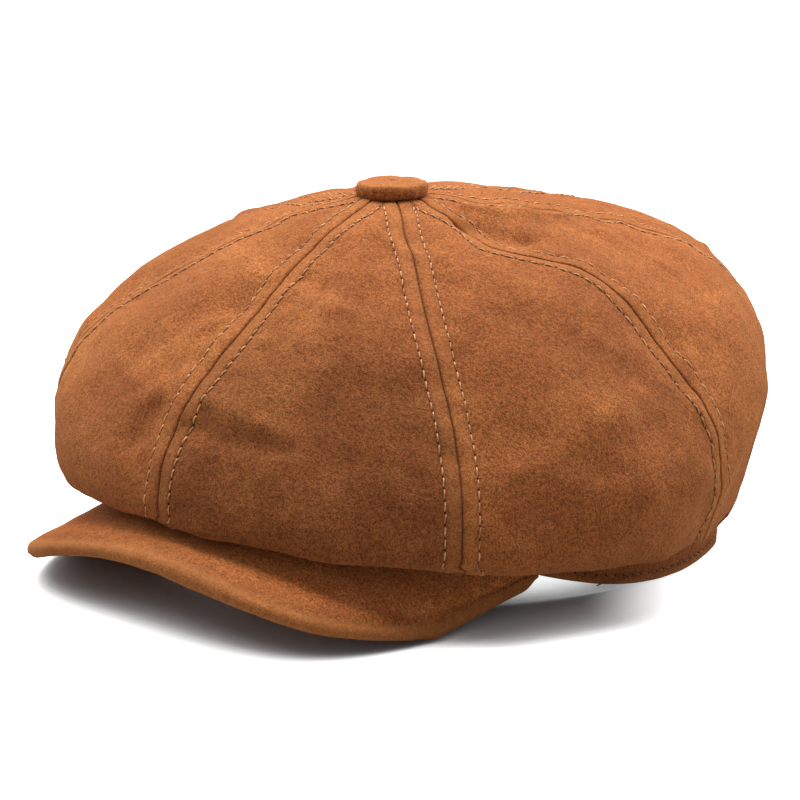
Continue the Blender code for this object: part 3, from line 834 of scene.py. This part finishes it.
class NodeTree:
    """Short names for making and joining a material's nodes."""

    def __init__(self, name):
        self.material = bpy.data.materials.new(name)
        self.material.use_nodes = True
        self.tree = self.material.node_tree
        self.shader = self.tree.nodes["Principled BSDF"]

    def node(self, kind, **settings):
        node = self.tree.nodes.new(kind)
        for key, value in settings.items():
            if key in node.inputs:
                node.inputs[key].default_value = value
            else:
                setattr(node, key, value)
        return node

    def link(self, output, target):
        self.tree.links.new(output, target)

    def surface(self):
        return self.tree.nodes["Material Output"].inputs["Surface"]

    def give(self, name, value):
        """Sets one plain value of the material's shader."""
        self.shader.inputs[name].default_value = value

    def place(self, scale=(1, 1, 1)):
        where = self.node("ShaderNodeTexCoord")
        mapping = self.node("ShaderNodeMapping", Scale=scale)
        self.link(where.outputs["Object"], mapping.inputs["Vector"])
        return mapping.outputs["Vector"]

    def noise(self, vector, scale, detail=3.0, roughness=0.55, distortion=0.0):
        node = self.node("ShaderNodeTexNoise", Scale=scale, Detail=detail, Roughness=roughness,
                         Distortion=distortion)
        self.link(vector, node.inputs["Vector"])
        return node.outputs["Fac"]

    def ramp(self, value, stops):
        node = self.node("ShaderNodeValToRGB")
        elements = node.color_ramp.elements
        while len(elements) < len(stops):
            elements.new(0.5)
        for element, (position, colour) in zip(elements, stops):
            element.position = position
            element.color = (*colour, 1)
        self.link(value, node.inputs["Fac"])
        return node.outputs["Color"]

    def mix(self, mode, amount, first, second):
        node = self.node("ShaderNodeMix", data_type="RGBA", blend_type=mode)
        for value, socket in ((amount, node.inputs["Factor"]), (first, node.inputs["A"]),
                              (second, node.inputs["B"])):
            self.feed(value, socket)
        return node.outputs["Result"]

    def feed(self, value, socket):
        if isinstance(value, bpy.types.NodeSocket):
            self.link(value, socket)
        elif isinstance(value, tuple):
            socket.default_value = (*value, 1)
        else:
            socket.default_value = value

    def maths(self, operation, first, second=0.0):
        node = self.node("ShaderNodeMath", operation=operation)
        self.feed(first, node.inputs[0])
        self.feed(second, node.inputs[1])
        return node.outputs["Value"]

    def fade(self, value, start, end):
        """0 up to the start, 1 from the end, and smooth between them."""
        node = self.node("ShaderNodeMapRange", interpolation_type="SMOOTHSTEP")
        self.feed(value, node.inputs["Value"])
        node.inputs["From Min"].default_value = start
        node.inputs["From Max"].default_value = end
        return node.outputs["Result"]

    def attribute(self, name):
        return self.node("ShaderNodeAttribute", attribute_name=name).outputs["Fac"]

    def bump(self, heights):
        """Chains bump nodes: heights lists (value, distance in metres)."""
        previous = None
        for value, distance in heights:
            node = self.node("ShaderNodeBump", Strength=1.0, Distance=distance)
            self.link(value, node.inputs["Height"])
            if previous:
                self.link(previous, node.inputs["Normal"])
            previous = node.outputs["Normal"]
        self.link(previous, self.shader.inputs["Normal"])


def linear(red, green, blue):
    """Scene colour of an everyday 0 to 255 colour."""
    def one(value):
        value /= 255
        return value / 12.92 if value <= 0.04045 else ((value + 0.055) / 1.055) ** 2.4
    return (one(red), one(green), one(blue))


def suede_material():
    """Brushed brown suede: cloudy patches, brushed streaks, a short nap and fine grain, with
    painted shade and painted highlights from each piece's attributes.
    """
    tree = NodeTree("brown_suede")
    place = tree.place()
    clouds = tree.noise(place, 20, detail=6, roughness=0.62, distortion=0.6)
    patches = tree.noise(place, 75, detail=6, roughness=0.68, distortion=0.9)
    streaks = tree.noise(tree.place((1, 1, 0.30)), 240, detail=5, roughness=0.7, distortion=0.4)
    tone = tree.maths("ADD", tree.maths("MULTIPLY", clouds, 0.50),
                      tree.maths("ADD", tree.maths("MULTIPLY", patches, 0.32),
                                 tree.maths("MULTIPLY", streaks, 0.18)))
    colour = tree.ramp(tone, [(0.34, linear(118, 64, 33)), (0.46, linear(137, 78, 41)),
                              (0.55, linear(149, 88, 47)), (0.66, linear(170, 106, 58))])
    nap = tree.noise(place, 900, detail=3, roughness=0.75)
    grain = tree.noise(place, 2300, detail=2, roughness=0.7)
    fine = tree.ramp(tree.maths("ADD", tree.maths("MULTIPLY", nap, 0.4),
                                tree.maths("MULTIPLY", grain, 0.6)),
                     [(0.40, (0.46, 0.43, 0.40)), (0.60, (1.50, 1.50, 1.50))])
    colour = tree.mix("MULTIPLY", 1.0, colour, fine)
    # The tone attribute scales the colour: on the crown's lower panels partly painted shade, on the
    # visor painted light beside the crown and painted shade at the rim
    toned = tree.node("ShaderNodeVectorMath", operation="SCALE")
    tree.link(colour, toned.inputs[0])
    tree.link(tree.maths("ADD", tree.attribute("tone"), 1.0), toned.inputs["Scale"])
    colour = toned.outputs["Vector"]
    # Lighter along edges and seam strips: rubbed nap, and on the crown partly painted highlight
    worn_and_lit = tree.maths("MULTIPLY", tree.attribute("wear_and_highlight"), 0.30)
    colour = tree.mix("MIX", worn_and_lit, colour, linear(186, 122, 70))
    # Painted shade: darker in grooves, along stitch rows, on hidden inner faces and where the
    # button sits on the crown
    painted_groove_shade = tree.maths("MULTIPLY", tree.attribute("groove"), 0.75)
    colour = tree.mix("MIX", painted_groove_shade, colour, linear(66, 32, 17))
    tree.feed(colour, tree.shader.inputs["Base Color"])
    tree.give("Roughness", 0.95)
    tree.give("Specular IOR Level", 0.10)
    tree.give("Sheen Weight", 0.30)
    tree.give("Sheen Roughness", 0.50)
    tree.give("Sheen Tint", (*linear(235, 165, 105), 1))
    tree.bump([(patches, 0.0004), (streaks, 0.0003), (nap, 0.00030), (grain, 0.00020)])
    return tree.material


def thread_material(name, dark, light):
    tree = NodeTree(name)
    place = tree.place()
    tone = tree.noise(place, 420, detail=3)
    colour = tree.ramp(tone, [(0.35, dark), (0.65, light)])
    tree.feed(colour, tree.shader.inputs["Base Color"])
    tree.give("Roughness", 0.55)
    tree.bump([(tree.noise(place, 3200, detail=2), 0.00008)])
    return tree.material


def hole_material():
    # Painted shade: the dark colour stands in for the shade inside a needle hole
    tree = NodeTree("needle_hole_shade")
    tone = tree.noise(tree.place(), 900)
    colour = tree.ramp(tone, [(0.4, linear(38, 20, 12)), (0.7, linear(70, 38, 22))])
    tree.feed(colour, tree.shader.inputs["Base Color"])
    tree.give("Roughness", 1.0)
    tree.give("Specular IOR Level", 0.0)
    return tree.material


def woven_material(name, dark, light, pitch, roughness, sheen):
    """Cloth with crossing yarns at a given pitch in metres."""
    tree = NodeTree(name)
    place = tree.place()
    tone = tree.noise(place, 60, detail=4)
    waves = []
    for direction in ("X", "Z"):
        wave = tree.node("ShaderNodeTexWave", Scale=0.314 / pitch, Distortion=0.6,
                         bands_direction=direction)
        tree.link(place, wave.inputs["Vector"])
        waves.append(wave.outputs["Fac"])
    weave = tree.maths("MULTIPLY", waves[0], waves[1])
    colour = tree.mix("MIX", tree.maths("ADD", tree.maths("MULTIPLY", tone, 0.6),
                                        tree.maths("MULTIPLY", weave, 0.4)), dark, light)
    tree.feed(colour, tree.shader.inputs["Base Color"])
    tree.give("Roughness", roughness)
    tree.give("Sheen Weight", sheen)
    tree.bump([(weave, 0.00012), (tone, 0.0002)])
    return tree.material


def plain_material(name, dark, light, roughness, metallic=0.0, scale=300):
    """Moulded board or metal with a faint mottle and fine scratches."""
    tree = NodeTree(name)
    place = tree.place()
    tone = tree.noise(place, scale, detail=5)
    tree.feed(tree.mix("MIX", tone, dark, light), tree.shader.inputs["Base Color"])
    tree.feed(tree.maths("ADD", tree.maths("MULTIPLY", tone, 0.2), roughness - 0.1),
              tree.shader.inputs["Roughness"])
    tree.give("Metallic", metallic)
    tree.bump([(tone, 0.00005)])
    return tree.material


def finish_cad_nodes():
    """The CAD pieces that stay: the visor's board and the button's hard parts."""
    board = plain_material("visor_board", linear(196, 192, 182), linear(216, 212, 204), 0.6)
    steel = plain_material("pressed_steel", linear(150, 150, 152), linear(190, 190, 192), 0.35,
                           metallic=1.0)
    brass = plain_material("brass", linear(170, 132, 70), linear(206, 168, 100), 0.35,
                           metallic=1.0)
    finishes = {"visor_board": board, "button_shell": steel, "button_back_plate": steel,
                "button_washer": steel, "button_rivet": brass}
    for node, material in finishes.items():
        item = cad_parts[node]
        for slot in item.material_slots:
            slot.material = material


# ---------------------------------------------------------------- floor, light and camera

def build_stage():
    """A pale floor, lit up white to the camera where it is open to the sky, and clear from below.

    The lighting up is weaker towards the camera's right, and past a set line it is complete, so
    that no shadow shows there.
    """
    bpy.ops.mesh.primitive_plane_add(size=12)
    floor = bpy.context.object
    floor.name = "floor"
    floor.location.z = -0.0004
    tree = NodeTree("white_floor")
    tone = tree.noise(tree.place(), 4)
    white = tree.ramp(tone, list(zip((0.3, 0.7), FLOOR_SHADES)))
    seen = tree.node("ShaderNodeLightPath").outputs["Is Camera Ray"]
    tree.feed(tree.mix("MIX", seen, FLOOR_BOUNCE, white), tree.shader.inputs["Base Color"])
    right, back = camera_frame()
    sideways = tree.node("ShaderNodeVectorMath", operation="DOT_PRODUCT")
    tree.link(tree.place(), sideways.inputs[0])
    sideways.inputs[1].default_value = right
    sideways = sideways.outputs["Value"]
    deeper = tree.maths("MULTIPLY", tree.fade(sideways, 0.0, 0.03), -SHADOW_DEEPENING)
    open_sky = tree.node("ShaderNodeAmbientOcclusion", samples=24, Distance=SHADOW_REACH)
    open_sky = tree.maths("ADD", open_sky.outputs["AO"], deeper)
    glow = tree.maths("MAXIMUM", tree.fade(open_sky, *SHADOW_OPENNESS),
                      tree.fade(sideways, *SHADOW_LIMIT))
    tree.give("Emission Color", (1, 1, 1, 1))
    tree.feed(tree.maths("MULTIPLY", seen, glow), tree.shader.inputs["Emission Strength"])
    tree.give("Roughness", 1.0)
    tree.give("Specular IOR Level", 0.0)
    below = tree.node("ShaderNodeNewGeometry").outputs["Backfacing"]
    see_through = tree.node("ShaderNodeMixShader")
    tree.feed(tree.maths("MULTIPLY", seen, below), see_through.inputs["Fac"])
    tree.link(tree.shader.outputs["BSDF"], see_through.inputs[1])
    tree.link(tree.node("ShaderNodeBsdfTransparent").outputs["BSDF"], see_through.inputs[2])
    tree.link(see_through.outputs["Shader"], tree.surface())
    floor.data.materials.append(tree.material)


def add_area_light(name, location, target, size, power):
    light = bpy.data.lights.new(name, "AREA")
    light.shape = "RECTANGLE"
    light.size, light.size_y = size
    light.energy = power
    item = bpy.data.objects.new(name, light)
    item.location = location
    item.rotation_euler = (Vector(target) - Vector(location)).to_track_quat("-Z", "Y").to_euler()
    bpy.context.scene.collection.objects.link(item)


def camera_frame():
    """The camera's own directions: to its right, and from the cap back to it."""
    back = Vector((sin(CAMERA_AZIMUTH) * cos(CAMERA_ELEVATION),
                   -cos(CAMERA_AZIMUTH) * cos(CAMERA_ELEVATION), sin(CAMERA_ELEVATION)))
    right = Vector((cos(CAMERA_AZIMUTH), sin(CAMERA_AZIMUTH), 0))
    return right, back


def build_camera():
    right, back = camera_frame()
    data = bpy.data.cameras.new("camera")
    data.sensor_width = SENSOR_WIDTH
    data.lens = LENS
    camera = bpy.data.objects.new("camera", data)
    camera.location = CAMERA_TARGET + back * CAMERA_DISTANCE
    camera.rotation_euler = back.to_track_quat("Z", "Y").to_euler()
    bpy.context.scene.collection.objects.link(camera)
    bpy.context.scene.camera = camera


def build_world():
    """White behind the cap, and a weaker even light on it."""
    world = bpy.data.worlds.new("studio")
    world.use_nodes = True
    tree = world.node_tree
    background = tree.nodes["Background"]
    background.inputs["Color"].default_value = (1, 1, 1, 1)
    path = tree.nodes.new("ShaderNodeLightPath")
    strength = tree.nodes.new("ShaderNodeMapRange")
    strength.inputs["To Min"].default_value = WORLD_LIGHT
    strength.inputs["To Max"].default_value = SKY_WHITE
    tree.links.new(path.outputs["Is Camera Ray"], strength.inputs["Value"])
    tree.links.new(strength.outputs["Result"], background.inputs["Strength"])
    bpy.context.scene.world = world


def build_lights():
    right, back = camera_frame()
    ahead = Vector((-back.x, -back.y, 0)).normalized()
    build_world()
    target = (0, 0, 0.05)
    add_area_light("top", ahead * 0.25 + Vector((0, 0, 1.1)), target, (1.0, 0.8), 26)
    add_area_light("left", -right * 1.0 + ahead * 0.5 + Vector((0, 0, 0.60)), target,
                   (0.7, 0.9), 5)
    add_area_light("right", right * 1.1 + ahead * 0.3 + Vector((0, 0, 0.65)), target,
                   (0.7, 0.9), 8)
    bpy.context.scene.view_settings.view_transform = "Standard"


# ---------------------------------------------------------------- the whole cap

def main():
    suede = suede_material()
    thread = thread_material("tan_thread", linear(138, 86, 44), linear(204, 150, 92))
    band_thread = thread_material("brown_thread", linear(112, 62, 34), linear(150, 92, 54))
    hole = hole_material()
    satin = woven_material("brown_satin", linear(70, 42, 28), linear(108, 70, 48), 0.0006, 0.4, 0.1)
    cotton = woven_material("brown_twill", linear(52, 38, 30), linear(84, 64, 52), 0.0009, 0.85,
                            0.3)
    felt = woven_material("interlining_felt", linear(214, 210, 202), linear(232, 230, 224),
                          0.0014, 0.9, 0.3)
    build_crown(suede, thread, hole)
    for index in range(PANEL_COUNT):
        build_lining_gore(index, satin)
    build_headband(suede, felt, cotton, band_thread, hole)
    build_visor(suede)
    build_button(suede)
    finish_cad_nodes()
    build_stage()
    build_camera()
    build_lights()


main()
